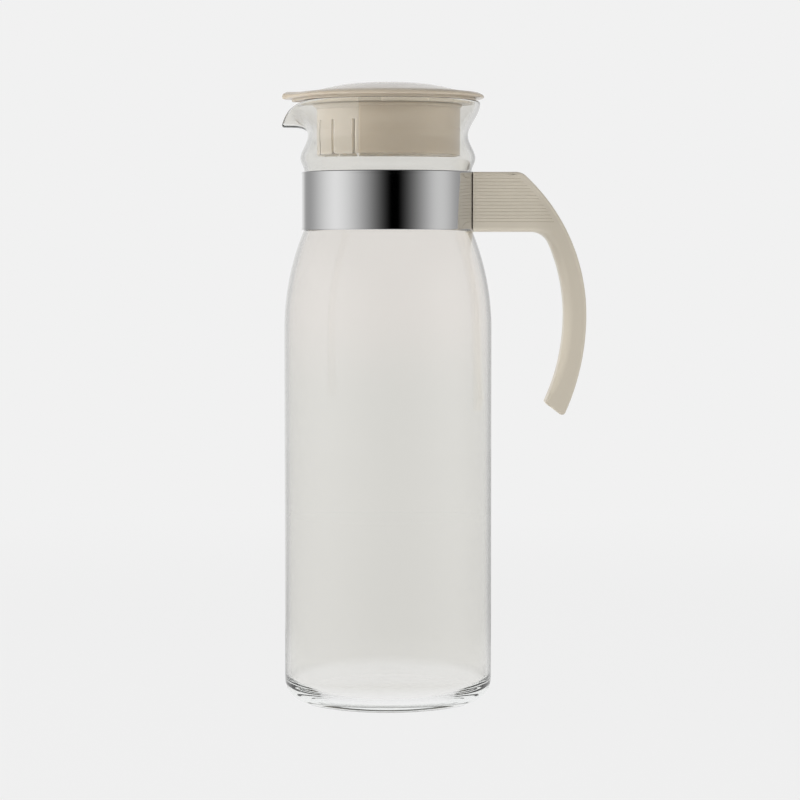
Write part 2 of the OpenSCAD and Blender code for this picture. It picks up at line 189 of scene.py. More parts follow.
class Shader:
    """A node tree that is written node by node."""

    def __init__(self, tree):
        self.tree = tree
        tree.nodes.clear()

    def node(self, kind, settings=None, inputs=None, output=0):
        """Adds a node with its settings, and links or sets its inputs. Returns one of its outputs."""
        made = self.tree.nodes.new("ShaderNode" + kind)
        for key, value in (settings or {}).items():
            setattr(made, key, value)
        for key, value in (inputs or {}).items():
            if isinstance(value, Signal):
                self.tree.links.new(value.output, made.inputs[key])
            else:
                made.inputs[key].default_value = value
        return Signal(self, made.outputs[output]) if made.outputs else None

    def place(self):
        return self.node("TexCoord", output="Object")

    def parts(self, vector):
        split = self.node("SeparateXYZ", inputs={0: vector})
        return [Signal(self, part) for part in split.output.node.outputs]

    def rays(self, *kinds):
        path = self.node("LightPath").output.node.outputs
        return [Signal(self, path["Is " + kind + " Ray"]) for kind in kinds]

    def length(self, vector):
        return self.node("VectorMath", {"operation": "LENGTH"}, {0: vector}, "Value")

    def noise(self, scale, detail=2, roughness=0.5, place=None):
        return self.node("TexNoise", inputs={
            "Vector": place or self.place(), "Scale": scale, "Detail": detail, "Roughness": roughness})

    def stretched(self, scale):
        """Places on the piece, scaled along each axis."""
        return self.node("Mapping", inputs={"Vector": self.place(), "Scale": scale})

    def step(self, value, low, high, bottom=0, top=1):
        """A soft change from bottom to top while the value goes from low to high."""
        return self.node("MapRange", {"interpolation_type": "SMOOTHSTEP"}, {
            "Value": value, "From Min": low, "From Max": high, "To Min": bottom, "To Max": top})

    def blend(self, share, first, second):
        return self.node("Mix", {"data_type": "RGBA"}, {"Factor": share, "A": first, "B": second}, 2)


def material(name):
    made = bpy.data.materials.new(name)
    made.use_nodes = True
    return made, Shader(made.node_tree)


def linear(red, green, blue):
    """A colour given in screen values from 0 to 255, as light."""
    def one(value):
        v = value / 255
        return v / 12.92 if v < 0.04045 else ((v + 0.055) / 1.055) ** 2.4
    return (one(red), one(green), one(blue), 1)


WHITE = (1, 1, 1, 1)

# The set: a pale floor that runs into a pale background. In a mirror the floor is pale round the object
# and fades into the studio's own light further out
BACKDROP = linear(241, 241, 241)
FLOOR_PAPER = linear(225, 225, 225)
FLOOR_SIDES = 96
FLOOR_R = 1.6
FLOOR_FADE_FROM = 0.25
FLOOR_FADE_TO = 0.9
FLOOR_SINK = 0.05 * MM
FLOOR_BOUNCE = 0.6
SHADOW_SHARE = 0.08
BRIGHT_TO = 0.12
DIM_FROM = 0.32


def ways_seen(shader):
    """1 for what is seen straight or through glass, and 1 for what is seen in a mirror."""
    camera, glossy, through = shader.rays("Camera", "Glossy", "Transmission")
    return camera + through, glossy * (1 - through)


# The studio as the object mirrors it: dark at the camera, a bright panel on each side, and the backdrop
# behind. Angles are in degrees round the object, from a little to the right of the camera
DARK_TO_DEG = 9
DARK_EDGE_DEG = (3, 85)
SIDE_LIGHT = 1.08
BACK_LIGHT = 0.43
LEFT_FALL_DEG = (80, 142)
RIGHT_FALL_DEG = (48, 105)
BEHIND_DEG = (148, 170)
PANEL_RISE = (0.2, 0.6)
BACKDROP_RISE = (0.75, 0.98)
TOP_MIRRORED = 0.12
AMBIENT = 0.27


def studio_light(shader, x, y):
    """The light of the side panels in a direction round the object, and the share of the backdrop."""
    angle = x.maths("ARCTAN2", x, 0 - y) * (180 / math.pi) - DARK_TO_DEG
    off = abs(angle)
    left = shader.step(off, *LEFT_FALL_DEG, SIDE_LIGHT, BACK_LIGHT)
    right = shader.step(off, *RIGHT_FALL_DEG, SIDE_LIGHT, BACK_LIGHT)
    panels = shader.step(off, *DARK_EDGE_DEG) * (left + (right - left) * (angle > 0))
    return panels, shader.step(off, *BEHIND_DEG)


def make_floor():
    fresh()
    bpy.ops.mesh.primitive_circle_add(
        vertices=FLOOR_SIDES, radius=FLOOR_R, fill_type="NGON", location=(0, 0, -FLOOR_SINK))
    floor = bpy.context.object
    floor.name = "floor"
    made, shader = material("floor_paper")
    plain, mirrored = ways_seen(shader)
    x, y = shader.parts(shader.place())[:2]
    away = shader.length(shader.place())
    near = 1 - shader.step(away, FLOOR_FADE_FROM, FLOOR_FADE_TO)
    panels, behind = studio_light(shader, x, y)
    around = panels + behind * (1 - panels)
    dim = 1 + mirrored * shader.step(away, BRIGHT_TO, DIM_FROM) * (around - 1)
    glow = shader.node("Emission", inputs={"Color": BACKDROP, "Strength": dim})
    glow_near = shader.node("Emission", inputs={"Color": BACKDROP, "Strength": (1 - SHADOW_SHARE) * dim})
    faint = shader.node("BsdfDiffuse", inputs={"Color": (SHADOW_SHARE, SHADOW_SHARE, SHADOW_SHARE, 1)})
    shaded = shader.node("AddShader", inputs={0: glow_near, 1: faint})
    white = shader.node("BsdfDiffuse", inputs={"Color": FLOOR_PAPER})
    bounce = shader.node("Emission", inputs={"Color": BACKDROP, "Strength": FLOOR_BOUNCE})
    paper = shader.node("AddShader", inputs={0: white, 1: bounce})
    seen = shader.node("MixShader", inputs={0: near, 1: glow, 2: shaded})
    final = shader.node("MixShader", inputs={0: plain + mirrored, 1: paper, 2: seen})
    shader.node("OutputMaterial", inputs={"Surface": final})
    floor.data.materials.append(made)


def make_world():
    world = bpy.data.worlds.new("studio")
    bpy.context.scene.world = world
    world.use_nodes = True
    shader = Shader(world.node_tree)
    plain, mirrored = ways_seen(shader)
    x, y, z = shader.parts(shader.node("TexCoord", output="Generated"))
    panels, backdrop = studio_light(shader, x, y)
    studio = panels + shader.step(abs(z), *PANEL_RISE) * (TOP_MIRRORED - panels)
    behind = backdrop * (1 - shader.step(abs(z), *BACKDROP_RISE))
    indirect = mirrored * (studio - AMBIENT) + AMBIENT
    paper = plain + mirrored * behind
    strength = indirect + paper * (1 - indirect)
    colour = shader.blend(paper, WHITE, BACKDROP)
    background = shader.node("Background", inputs={"Color": colour, "Strength": strength})
    shader.node("OutputWorld", inputs={"Surface": background})


# Lamps: a broad one low on the left, a weaker one on the right, and a little light from above
LAMP_AIM = Vector((0, 0, 0.2))
LAMP_SIZE = 1
LAMPS = (
    ("left_lamp", (-1.7, -0.25, 0.45), 29),
    ("right_lamp", (1.3, -1.2, 0.65), 17),
    ("top_lamp", (0, 0, 1.5), 1.5))


def make_lights():
    for name, place, power in LAMPS:
        fresh()
        bpy.ops.object.light_add(type="AREA", location=place)
        lamp = bpy.context.object
        lamp.name = name
        lamp.data.shape = "SQUARE"
        lamp.data.size = LAMP_SIZE
        lamp.data.energy = power
        lamp.rotation_euler = (LAMP_AIM - Vector(place)).to_track_quat("-Z", "Y").to_euler()
        lamp.visible_glossy = False
        lamp.visible_transmission = False


make_camera()
make_floor()
make_world()
make_lights()


# Modelling moves
def draw(name, points):
    """A line of edges through points, drawn vertex by vertex. It's left in edit mode, all selected."""
    fresh()
    bpy.ops.mesh.primitive_plane_add(size=MM)
    piece = bpy.context.object
    piece.name = name
    bpy.ops.object.mode_set(mode="EDIT")
    bpy.ops.mesh.merge(type="CENTER")
    bpy.ops.transform.translate(value=points[0])
    for back, on in zip(points, points[1:]):
        bpy.ops.mesh.extrude_vertices_move(TRANSFORM_OT_translate={"value": Vector(on) - Vector(back)})
    bpy.ops.mesh.select_all(action="SELECT")
    return piece


def turn_round(name, profile, steps):
    """A turned shape from a profile of (radius, height) points."""
    piece = draw(name, [(r, 0, z) for r, z in profile])
    bpy.ops.mesh.spin(steps=steps, angle=2 * math.pi, center=(0, 0, 0), axis=(0, 0, 1))
    tidy_mesh()
    return piece


def tidy_mesh():
    """Merges doubles and turns the faces outwards. Nothing is left selected."""
    bpy.ops.mesh.select_all(action="SELECT")
    bpy.ops.mesh.remove_doubles(threshold=WELD)
    bpy.ops.mesh.normals_make_consistent(inside=False)
    bpy.ops.mesh.select_all(action="DESELECT")


def pick(piece):
    """Only this piece selected, and active."""
    fresh()
    piece.select_set(True)
    bpy.context.view_layer.objects.active = piece


def modify(piece, kind, **settings):
    """Adds a modifier with its settings and applies it."""
    pick(piece)
    modifier = piece.modifiers.new(kind.lower(), kind)
    for key, value in settings.items():
        setattr(modifier, key, value)
    bpy.ops.object.modifier_apply(modifier=modifier.name)


def round_edges(piece, r, segments, degrees):
    """Rounds the edges that turn by more than the angle."""
    modify(piece, "BEVEL", width=r, segments=segments,
           limit_method="ANGLE", angle_limit=math.radians(degrees))


def smooth(piece, degrees=40):
    pick(piece)
    bpy.ops.object.shade_smooth_by_angle(angle=math.radians(degrees))


def even(first, last, steps):
    """Numbers in even steps from the first to the last, both included."""
    return [first + (last - first) * i / steps for i in range(steps + 1)]


def on_circle(centre, r, degrees):
    """The point of a circle in a direction."""
    turn = math.radians(degrees)
    return (centre[0] + r * math.cos(turn), centre[1] + r * math.sin(turn))


def arc(centre, r, start, end, steps):
    """Points along an arc, from one direction in degrees to another."""
    return [on_circle(centre, r, degrees) for degrees in even(start, end, steps)]


def ease(t):
    """From 0 to 1, with a soft start and a soft end."""
    return (1 - math.cos(math.pi * t)) / 2


def leg(r, other):
    """Side of a right triangle whose longest side is r."""
    return math.sqrt(r * r - other * other)


# Glass: turned up to the waist, then drawn out row by row into the mouth and its lip
def swell(low_r, low_z, high_r, high_z, steps=12):
    """Points up a wall whose radius changes softly from the lower end to the upper one."""
    return [(low_r + (high_r - low_r) * ease(t), low_z + (high_z - low_z) * t) for t in even(0, 1, steps)]


def glass_profile():
    shoulder_in = body_r - neck_r
    shoulder_up = neck_z - body_h
    shoulder_arc = (shoulder_in ** 2 + shoulder_up ** 2) / (2 * shoulder_in)
    shoulder_deg = math.degrees(math.asin(shoulder_up / shoulder_arc))
    foot = [(punt_r * t, punt_h * (1 - ease(t))) for t in even(0, 1, 10)]
    corner = arc((body_r - corner_r, corner_r), corner_r, -90, 0, 12)
    cove = [(body_r, z) for z in even(corner_r, cove_top, 4)[1:]]
    straight = [(body_r, z) for z in even(cove_top, body_h, 6)[1:-1]]
    shoulder = arc((body_r - shoulder_arc, body_h), shoulder_arc, 0, shoulder_deg, 16)
    up_to_bulge = swell(neck_r, band_top, bulge_r, bulge_z)
    up_to_waist = swell(bulge_r, bulge_z, waist_r, waist_z)[1:]
    return foot + corner + cove + straight + shoulder + up_to_bulge + up_to_waist


def thickness_at(r, z):
    """Thickness of the glass: even in the wall, more in the floor, with a round cove between the two."""
    if z > cove_top:
        return wall
    if z > corner_r:
        return corner_r - leg(cove_r, cove_top - z)
    if r > body_r - corner_r:
        down = cove_in * (1 - z / corner_r)
        return corner_r + down - math.sqrt(down ** 2 + cove_r ** 2 - cove_in ** 2)
    return floor_t


def lip_pull(phi):
    """How much of the lip there is at an angle from its tip: 1 at the tip, and soon 0 beside it."""
    return math.exp((lip_round - math.hypot(phi, lip_round)) / lip_spread)


def mouth_point(phi, s):
    """A point of the mouth at an angle from the lip, from the waist (0) to the rim (1)."""
    pull = lip_pull(phi)
    edge_r = rim_r + (lip_tip_r - rim_r) * pull ** lip_side_power
    edge_z = rim_z + (lip_tip_z - rim_z) * pull
    r = waist_r + (edge_r - waist_r) * ((1 - pull) * ease(s ** flare_power) + pull * s * s)
    z = waist_z + (edge_z - waist_z) * ((1 - pull) * s + pull * (1 - (1 - s) ** 3))
    return Vector((-r * math.cos(phi), -r * math.sin(phi), z))


def make_glass():
    """The glass, thickened inwards, with a mark on its inner wall for the material."""
    piece = turn_round("glass_vessel", glass_profile(), columns)
    mesh = bmesh.from_edit_mesh(piece.data)
    top = max(v.co.z for v in mesh.verts)
    for v in mesh.verts:
        v.select = v.co.z > top - SAME
    mesh.select_flush(True)
    bmesh.update_edit_mesh(piece.data)
    for row in range(1, mouth_rows + 2):
        bpy.ops.mesh.extrude_edges_move()
        mesh = bmesh.from_edit_mesh(piece.data)
        for v in mesh.verts:
            if v.select:
                phi = math.atan2(-v.co.y, -v.co.x)
                s = min(row / mouth_rows, 1)
                v.co = mouth_point(phi, s)
                if row > mouth_rows:
                    v.co += (v.co - mouth_point(phi, near_rim)).normalized() * wall / 2
        bmesh.update_edit_mesh(piece.data)
    tidy_mesh()
    fresh()
    thick = piece.vertex_groups.new(name="thick_floor")
    for v in piece.data.vertices:
        extra = thickness_at(v.co.xy.length, v.co.z) - wall
        thick.add([v.index], extra / cove_in, "REPLACE")
    piece.vertex_groups.new(name="inner")
    modify(piece, "SOLIDIFY", thickness=floor_t, offset=-1, use_even_offset=True,
           use_quality_normals=True, vertex_group="thick_floor",
           thickness_vertex_group=wall / floor_t, shell_vertex_group="inner")
    round_edges(piece, rim_round, segments=4, degrees=60)
    inner = piece.vertex_groups["inner"].index
    mark = piece.data.attributes.new("inner_wall", "FLOAT", "POINT")
    for v in piece.data.vertices:
        mark.data[v.index].value = max([g.weight for g in v.groups if g.group == inner], default=0)
    smooth(piece, 60)
    return piece


# Colour of the glass: one tint in the wall, a paler one on the shoulder that is painted light, and a dark
# one, painted shade, where the outer wall is seen nearly edge on. The base stays clear, and the rim
# nearly clear of the painted shade
WALL_TINT = (0.895, 0.889, 0.867, 1)
WALL_FROM_Z = (6 * MM, 14 * MM)
# Painted shade: a dark tint on the outer wall where it is seen nearly edge on, with less of it at the rim
PAINTED_EDGE_SHADE = (0.42, 0.42, 0.41, 1)
EDGE_FACING = (0.62, 0.8)
RIM_CLEAR = 0.75
RIM_FROM_Z = (waist_z - 3 * MM, waist_z + 3 * MM)
# Painted light: the shoulder is tinted paler, for the light that falls on it
SHOULDER_PAINTED_LIGHT = (0.925, 0.907, 0.885, 1)
SHOULDER_Z = (140 * MM, 190 * MM)
# Faint waves in the surface, longer upwards than round
WAVE_STRETCH = (1, 1, 0.35)
WAVE_H = MM
DEPTH_TINT = (0.86, 0.90, 0.88, 1)


def glass_material():
    made, shader = material("clear_glass")
    waves = shader.noise(scale=14, detail=1, roughness=0.4, place=shader.stretched(WAVE_STRETCH))
    bump = shader.node("Bump", inputs={"Strength": 0.02, "Distance": WAVE_H, "Height": waves})
    z = shader.parts(shader.place())[2]
    above_base = shader.step(z, *WALL_FROM_Z)
    # Painted light on the shoulder
    shoulder = shader.step(z, *SHOULDER_Z) * (z < band_z)
    tint = shader.blend(shoulder, WALL_TINT, SHOULDER_PAINTED_LIGHT)
    tint = shader.blend(above_base, WHITE, tint)
    inner = shader.node("Attribute", {"attribute_name": "inner_wall"}, output="Fac")
    facing = shader.node("LayerWeight", inputs={"Blend": 0.5}, output="Facing")
    rim_share = 1 - RIM_CLEAR * shader.step(z, *RIM_FROM_Z)
    # Painted shade along the edge-on outer wall, kept off the inner wall, the base and most of the rim
    edge = shader.step(facing, *EDGE_FACING) * (1 - inner) * above_base * rim_share
    tint = shader.blend(edge, tint, PAINTED_EDGE_SHADE)
    glass = shader.node("BsdfPrincipled", inputs={
        "Base Color": tint, "Roughness": 0, "IOR": 1.5, "Transmission Weight": 1, "Normal": bump})
    clear = shader.node("BsdfTransparent")
    shadow, diffuse = shader.rays("Shadow", "Diffuse")
    final = shader.node("MixShader", inputs={0: shadow + diffuse, 1: glass, 2: clear})
    depth = shader.node("VolumeAbsorption", inputs={"Color": DEPTH_TINT, "Density": 4})
    shader.node("OutputMaterial", inputs={"Surface": final, "Volume": depth})
    return made


# Cutting and joining
def cut(piece, cutter):
    """Takes the cutter's shape out of the piece, and the cutter away."""
    modify(piece, "BOOLEAN", object=cutter, operation="DIFFERENCE", solver="MANIFOLD")
    bpy.data.objects.remove(cutter, do_unlink=True)


def block(low, high, turn=(0, 0, 0)):
    """A box between two corners, turned about its middle."""
    fresh()
    bpy.ops.mesh.primitive_cube_add(size=1, location=(Vector(low) + Vector(high)) / 2, rotation=turn)
    bpy.context.object.scale = Vector(high) - Vector(low)
    return bpy.context.object


def rod(r, start, end, sides=64):
    """A bar between two points, along Y or along Z."""
    fresh()
    way = Vector(end) - Vector(start)
    turn = (math.pi / 2, 0, 0) if abs(way.y) > abs(way.z) else (0, 0, 0)
    middle = (Vector(start) + Vector(end)) / 2
    bpy.ops.mesh.primitive_cylinder_add(
        vertices=sides, radius=r, depth=way.length, location=middle, rotation=turn)
    return bpy.context.object


def join(pieces):
    fresh()
    for piece in pieces:
        piece.select_set(True)
    bpy.context.view_layer.objects.active = pieces[0]
    bpy.ops.object.join()
    return pieces[0]


def fill(piece):
    """Closes a drawn line and fills it with one face. All is left selected."""
    mesh = bmesh.from_edit_mesh(piece.data)
    bpy.ops.mesh.select_all(action="DESELECT")
    for v in mesh.verts:
        v.select = len(v.link_edges) == 1
    bmesh.update_edit_mesh(piece.data)
    bpy.ops.mesh.edge_face_add()
    bpy.ops.mesh.select_all(action="SELECT")
    bpy.ops.mesh.edge_face_add()


def finish_piece(piece, made, body, node):
    """Gives a finished piece its material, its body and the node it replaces."""
    piece.data.materials.clear()
    piece.data.materials.append(made)
    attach(piece, body)
    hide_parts(node)


# Handle: one outline for the block and the arm, with a rounding of its own along each stretch
handle_h = 115 * MM
block_h = 28 * MM
block_top = band_top
block_z = block_top - block_h
block_start = band_r - 2 * MM
block_face_r = band_r + 0.35 * MM
block_corner_r = 7 * MM
block_hollow_r = 9 * MM
arm_t = 10.4 * MM
arm_z = block_top - 67.2 * MM
arm_upper_r = 89 * MM
arm_lower_r = 112 * MM
grip_upper_r = 84 * MM
grip_lower_r = 100 * MM
arm_end_rise = 0.62 * arm_t
arm_end_round = 0.17 * arm_t
round_top = 0.9 * MM
round_under = 2.2 * MM
round_grip = 4.3 * MM
round_outer = 1.9 * MM
round_end = 0.8 * MM
# The gap between two arcs that follow each other, and how far short of the arm's end, which has
# roundings of its own, the arc inside and the arc outside stop
arc_gap_deg = 1
inner_stop_deg = 1.2
outer_stop_deg = 2
# A rounding grows early along its stretch and shrinks late
growth = 1.4
shrink_power = 5
groove_pitch = 1.55 * MM
groove_d = 0.2 * MM
groove_out = 0.25 * MM
groove_margin = 3.8 * MM
cheek_t = 5.1 * MM
pocket_h = 18.8 * MM
pocket_gap = 0.4 * MM
upper_x = arm_reach - arm_upper_r
corner_z = block_top - block_corner_r
corner_x = upper_x + leg(arm_upper_r - block_corner_r, corner_z - arm_z)

# Screw and nut across the block
flange_mid_z = (band_z + band_top) / 2
screw_x = (band_r + flange_end) / 2
screw_r = 2 * MM
screw_gap = 0.2 * MM
head_r = 3.7 * MM
head_h = 2.4 * MM
nut_w = 7 * MM
nut_t = 3.2 * MM


def rounded(p, back_deg, on_deg, r):
    """A corner rounded off, between the directions of the outline's two sides."""
    away = r / math.sin(math.radians((back_deg - on_deg) / 2))
    centre = on_circle(p, away, (back_deg + on_deg) / 2)
    return arc(centre, r, back_deg + 90, on_deg + 270, 5)


def handle_outline():
    """Points of (x, z) once round the handle, each with the rounding of the edge there."""
    upper = (upper_x, arm_z)
    lower = (arm_reach - arm_lower_r, arm_z)
    grip_upper = (arm_reach - arm_t - grip_upper_r, arm_z)
    grip_lower = (arm_reach - arm_t - grip_lower_r, arm_z)

    hollow_up = block_z - block_hollow_r - arm_z
    hollow = (grip_upper[0] + leg(grip_upper_r - block_hollow_r, hollow_up), arm_z + hollow_up)
    hollow_deg = math.degrees(math.atan2(hollow_up, hollow[0] - grip_upper[0]))
    corner_deg = math.degrees(math.atan2(corner_z - arm_z, corner_x - upper_x))

    outer_down = handle_h - (block_top - arm_z)
    outer_deg = -math.degrees(math.asin(outer_down / arm_lower_r))
    inner_deg = -math.degrees(math.asin((outer_down - arm_end_rise) / grip_lower_r))
    end_outer = on_circle(lower, arm_lower_r, outer_deg)
    end_inner = on_circle(grip_lower, grip_lower_r, inner_deg)
    end_deg = math.degrees(math.atan2(end_outer[1] - end_inner[1], end_outer[0] - end_inner[0]))

    stretches = (
        ([(block_start, block_top), (block_start, block_z)], round_top, round_under),
        (arc(hollow, block_hollow_r, 90, hollow_deg, 14), round_under, round_grip),
        (arc(grip_upper, grip_upper_r, hollow_deg, 0, 30), round_grip, round_grip),
        (arc(grip_lower, grip_lower_r, -arc_gap_deg, inner_deg + inner_stop_deg, 28),
         round_grip, round_end),
        (rounded(end_inner, inner_deg + 90, end_deg, arm_end_round / 2), round_end, round_end),
        (rounded(end_outer, 180 + end_deg, outer_deg + 90, arm_end_round), round_end, round_end),
        (arc(lower, arm_lower_r, outer_deg + outer_stop_deg, -arc_gap_deg, 28),
         round_end, round_outer),
        (arc(upper, arm_upper_r, 0, corner_deg, 30), round_outer, round_outer),
        (arc((corner_x, corner_z), block_corner_r, corner_deg, 90, 12), round_outer, round_top))
    outline = []
    for points, first, last in stretches:
        count = len(points) - 1
        for i, (x, z) in enumerate(points):
            share = (i / count) ** shrink_power if first > last else ease(min(1, growth * i / count))
            if not outline or math.dist(outline[-1][:2], (x, z)) > SHORTEST:
                outline.append((x, z, first + (last - first) * share))
    return outline


def groove_end(z):
    """How far out the grooves reach at a height z."""
    outer = upper_x + leg(arm_upper_r, max(z - arm_z, 0)) - groove_margin
    return min(outer, corner_x + block_top - z) if z > corner_z else outer


def groove_bars():
    """Square bars on edge, mostly outside the cheeks, that cut a groove with one corner."""
    width = (groove_d + groove_out) * math.sqrt(2)
    bars = []
    for side in (-1, 1):
        for i in range(int((block_h - groove_margin) / groove_pitch)):
            z = block_top - (i + 1) * groove_pitch
            y = side * (handle_w / 2 + groove_out)
            bars.append(block((block_start, y - width / 2, z - width / 2),
                              (groove_end(z), y + width / 2, z + width / 2), (math.pi / 4, 0, 0)))
    return join(bars)


def across(r, start_y, end_y, sides=64):
    """A bar along the line of the screw."""
    return rod(r, (screw_x, start_y, flange_mid_z), (screw_x, end_y, flange_mid_z), sides)


def spot(x, z):
    """A place in the handle's plane, to the micrometre, by which its edge is found again."""
    return round(x / MM, 3), round(z / MM, 3)


def make_handle():
    """The outline drawn out sideways and rounded, with room cut for the strap, the screw and the nut."""
    outline = handle_outline()
    piece = draw("handle_grip", [(x, -handle_w / 2, z) for x, z, edge in outline])
    fill(piece)
    bpy.ops.mesh.extrude_region_move(TRANSFORM_OT_translate={"value": (0, handle_w, 0)})
    tidy_mesh()
    fresh()
    roundings = {spot(x, z): edge for x, z, edge in outline}
    weights = piece.data.attributes.new("bevel_weight_edge", "FLOAT", "EDGE")
    for edge in piece.data.edges:
        first, last = (piece.data.vertices[i].co for i in edge.vertices)
        if abs(first.y - last.y) < SAME:
            mean = (roundings[spot(first.x, first.z)] + roundings[spot(last.x, last.z)]) / 2
            weights.data[edge.index].value = mean / round_grip
    modify(piece, "BEVEL", width=round_grip, segments=6, limit_method="WEIGHT", use_clamp_overlap=False)

    side = handle_w / 2
    pocket_side = side - cheek_t
    cut(piece, rod(block_face_r, (0, 0, block_z - OVER), (0, 0, block_top + OVER), sides=384))
    cut(piece, block((block_start - OVER, -pocket_side, flange_mid_z - pocket_h / 2),
                     (flange_end + pocket_gap, pocket_side, flange_mid_z + pocket_h / 2)))
    cut(piece, across(head_r + screw_gap, side - head_h - screw_gap, side + OVER, sides=96))
    cut(piece, across(screw_r + screw_gap, 0, side + OVER))
    nut_corner_r = (nut_w / 2 + screw_gap) / math.cos(math.pi / 6)
    cut(piece, across(nut_corner_r, -pocket_side - nut_t - screw_gap, 0, sides=6))
    cut(piece, groove_bars())
    smooth(piece)
    modify(piece, "WEIGHTED_NORMAL", keep_sharp=True)
    return piece


# Neck strap: one strip of steel round the neck, its ends turned out into the handle
band_t = 0.6 * MM
flange_y = 3.7 * MM
flange_h = 18 * MM
flange_bend_r = 1.2 * MM
band_round = 0.14 * MM
hem_out = 0.16 * MM
hem_h = 1.2 * MM
hem_ridge = 0.4 * hem_h


def strap_path():
    """Points of (x, y) along the middle of the steel, from one end to the other."""
    middle_r = band_r - band_t / 2
    bend_y = flange_y + flange_bend_r
    bend = (leg(middle_r + flange_bend_r, bend_y), bend_y)
    bend_deg = math.degrees(math.atan2(bend[1], bend[0]))
    half = [(x, flange_y) for x in even(flange_end, bend[0], 4)[:-1]]
    half += arc(bend, flange_bend_r, 270, 180 + bend_deg, 5)
    half += arc((0, 0), middle_r, bend_deg, 180, 130)[1:]
    return half + [(x, -y) for x, y in reversed(half[:-1])]


def make_strap():
    """The path drawn up into a strip, its ends cut to the height of the block's room, its hems ridged."""
    middle_h = (band_top - band_z) / 2
    rises = [hem_ridge, hem_h - hem_ridge, middle_h - flange_h / 2 - hem_h, flange_h / 2]
    piece = draw("neck_strap", [(x, y, band_z) for x, y in strap_path()])
    for rise in rises + rises[::-1]:
        bpy.ops.mesh.extrude_edges_move(TRANSFORM_OT_translate={"value": (0, 0, rise)})
    mesh = bmesh.from_edit_mesh(piece.data)
    bpy.ops.mesh.select_all(action="DESELECT")
    for face in mesh.faces:
        middle = face.calc_center_median()
        beyond = abs(middle.z - flange_mid_z) > flange_h / 2
        face.select = beyond and middle.x > band_r + flange_bend_r and abs(middle.y) < flange_y + band_t
    bmesh.update_edit_mesh(piece.data)
    bpy.ops.mesh.delete(type="FACE")
    mesh = bmesh.from_edit_mesh(piece.data)
    for v in mesh.verts:
        r = v.co.xy.length
        from_edge = min(v.co.z - band_z, band_top - v.co.z)
        if abs(from_edge - hem_ridge) < SAME and r < band_r:
            v.co.xy *= (r + hem_out) / r
    bmesh.update_edit_mesh(piece.data)
    tidy_mesh()
    modify(piece, "SOLIDIFY", thickness=band_t, offset=0, use_even_offset=True)
    round_edges(piece, band_round, segments=2, degrees=60)
    cut(piece, across(screw_r + screw_gap, -handle_w / 2, handle_w / 2))
    smooth(piece)
    return piece


# Lid cover: turned, then drawn out into the tab over the pouring lip
crown_r = 27 * MM
crown_drop = 2.2 * MM
crown_power = 2.8
slope_sag = 0.4 * MM
brim_z = cover_low.z + 4 * MM
brim_shoulder_r = brim_r - 2 * MM
brim_shoulder_z = brim_z + 3.5 * MM
brim_crisp = 0.15 * MM
brim_soft = 1.3 * MM
brim_edge_z = brim_z + 1.7 * MM
brim_under_z = brim_z + MM
brim_foot_r = brim_r - 1.5 * MM
brim_step_r = brim_r - 3.8 * MM
brim_step_round = 0.3 * MM
tab_tip_r = 8 * MM
tab_centre = tab_reach - tab_tip_r
tab_lift = 0.7 * MM
tab_half = math.acos((brim_r - tab_tip_r) / tab_centre)
cover_t = 2 * MM
inside_sag = 0.4 * MM
socket_gap = 0.1 * MM
socket_depth = 2.4 * MM
socket_land = MM
plug_r = 34 * MM
plug_wall = 2 * MM
tab_hold_r = plug_r + 0.5 * MM
spigot_h = 4 * MM
spigot_t = 2 * MM
snap_d = 0.35 * MM
spigot_r = plug_r - plug_wall - socket_gap
spigot_in_r = spigot_r - spigot_t


def crown_height(r):
    """Height of the domed crown at a radius."""
    return crown_z - crown_drop * (r / crown_r) ** crown_power


def cover_profile():
    """Points once round the cover's section, from the top of the crown to the middle of its inside."""
    crown = [(r, crown_height(r)) for r in even(0, crown_r, 12)]
    slope_top = crown_height(crown_r)
    slope = [(crown_r + (brim_shoulder_r - crown_r) * t,
              slope_top + (brim_shoulder_z - slope_top) * t - slope_sag * math.sin(math.pi * t))
             for t in even(0, 1, 8)[1:-1]]
    upper = [(brim_shoulder_r - brim_crisp, brim_shoulder_z),
             (brim_shoulder_r + brim_crisp, brim_shoulder_z - brim_crisp)]
    upper += arc((brim_r - brim_soft, brim_edge_z), brim_soft, 50, 0, 5)
    foot_w = brim_r - brim_foot_r
    foot_h = brim_edge_z - brim_under_z
    lower = [(brim_foot_r + foot_w * math.cos(a), brim_edge_z - foot_h * math.sin(a))
             for a in even(0, math.pi / 2, 9)[1:]]
    underside = [(brim_step_r + brim_step_round, brim_under_z),
                 (brim_step_r, brim_under_z - brim_step_round)]
    underside += [(r, brim_z) for r in even(brim_step_r, plug_r + socket_land, 4)]
    socket_top = brim_z + socket_depth
    spigot_end = brim_z - spigot_h
    snap_z = (brim_z + spigot_end) / 2
    socket = [(plug_r + socket_gap, brim_z), (plug_r + socket_gap, socket_top), (spigot_r, socket_top),
              (spigot_r, snap_z + snap_d), (spigot_r + snap_d, snap_z), (spigot_r, snap_z - snap_d),
              (spigot_r, spigot_end), (spigot_in_r, spigot_end)]
    inside = [(spigot_in_r, slope_top - cover_t - inside_sag)]
    inside += [(r, crown_height(r) - cover_t) for r in reversed(even(0, crown_r, 5))]
    return crown + slope + upper + lower + underside + socket + inside


def lid_edge(phi):
    """Radius of the cover's outline at an angle from the tab's own direction."""
    off = abs(phi)
    tip_off = math.atan2(tab_tip_r * math.sin(tab_half), tab_centre + tab_tip_r * math.cos(tab_half))
    if off > tab_half:
        return brim_r
    if off > tip_off:
        return brim_r / math.cos(tab_half - off)
    return tab_centre * math.cos(off) + leg(tab_tip_r, tab_centre * math.sin(off))


